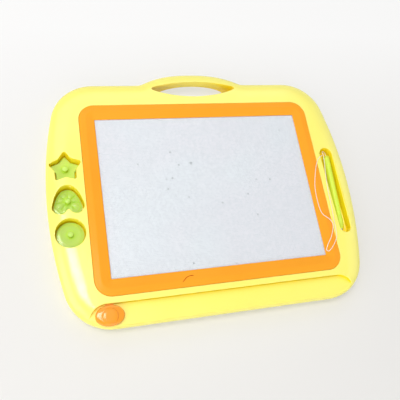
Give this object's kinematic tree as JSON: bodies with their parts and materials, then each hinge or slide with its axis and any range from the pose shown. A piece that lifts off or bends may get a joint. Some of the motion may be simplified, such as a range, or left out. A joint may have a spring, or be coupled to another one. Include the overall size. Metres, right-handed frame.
{
  "type": "magnetic drawing board",
  "caption": "Child's magnetic drawing board with a carry handle, a sliding eraser, a pen on a string in its trough and shaped magnetic stamps in recesses.",
  "frame": {"origin": "middle of the board's outline, on the surface that its flat back rests on", "axes": "+X to the board's right, +Y up the board to its carry handle, +Z out of its face"},
  "size_m": [0.419, 0.34, 0.0314],
  "materials": {
    "yellow_plastic": "satin",
    "orange_plastic": "satin",
    "green_plastic": "clear tinted gloss",
    "pen_plastic": "gloss",
    "screen_film": "clear satin film",
    "screen_cells": "milky",
    "back_film": "matte film",
    "magnet_rubber": "matte",
    "magnet_metal": "plated",
    "screw_steel": "zinc plated",
    "string_fibre": "twisted cord"
  },
  "bodies": {
    "board": {"front_shell": "yellow_plastic", "back_shell": "yellow_plastic", "bezel": "orange_plastic", "screen_front_film": "screen_film", "screen_cell_grid": "screen_cells", "screen_back_film": "back_film", "case_screw_1": "screw_steel", "case_screw_2": "screw_steel", "case_screw_3": "screw_steel", "case_screw_4": "screw_steel", "case_screw_5": "screw_steel", "case_screw_6": "screw_steel", "case_screw_7": "screw_steel", "case_screw_8": "screw_steel", "pen_string": "string_fibre", "string_knot": "string_fibre"},
    "eraser": {"eraser_knob": "orange_plastic", "eraser_carriage": "orange_plastic", "eraser_magnet": "magnet_rubber"},
    "pen": {"pen_barrel": "pen_plastic", "pen_cap": "pen_plastic", "pen_nib": "magnet_metal"},
    "star_stamp": {"star_stamp": "green_plastic", "star_stamp_magnet": "magnet_rubber"},
    "heart_stamp": {"heart_stamp": "green_plastic", "heart_stamp_magnet": "magnet_rubber"},
    "round_stamp": {"round_stamp": "green_plastic", "round_stamp_magnet": "magnet_rubber"}
  },
  "joints": [
    {"name": "eraser_slide", "type": "slide", "parent": "board", "child": "eraser", "axis": [1, 0, 0], "range_m": [0, 0.2964]},
    {"name": "pen_lift", "type": "slide", "parent": "board", "child": "pen", "axis": [0, 0, 1], "range_m": [0, 0.04]},
    {"name": "star_stamp_lift", "type": "slide", "parent": "board", "child": "star_stamp", "axis": [0, 0, 1], "range_m": [0, 0.03]},
    {"name": "heart_stamp_lift", "type": "slide", "parent": "board", "child": "heart_stamp", "axis": [0, 0, 1], "range_m": [0, 0.03]},
    {"name": "round_stamp_lift", "type": "slide", "parent": "board", "child": "round_stamp", "axis": [0, 0, 1], "range_m": [0, 0.03]}
  ]
}
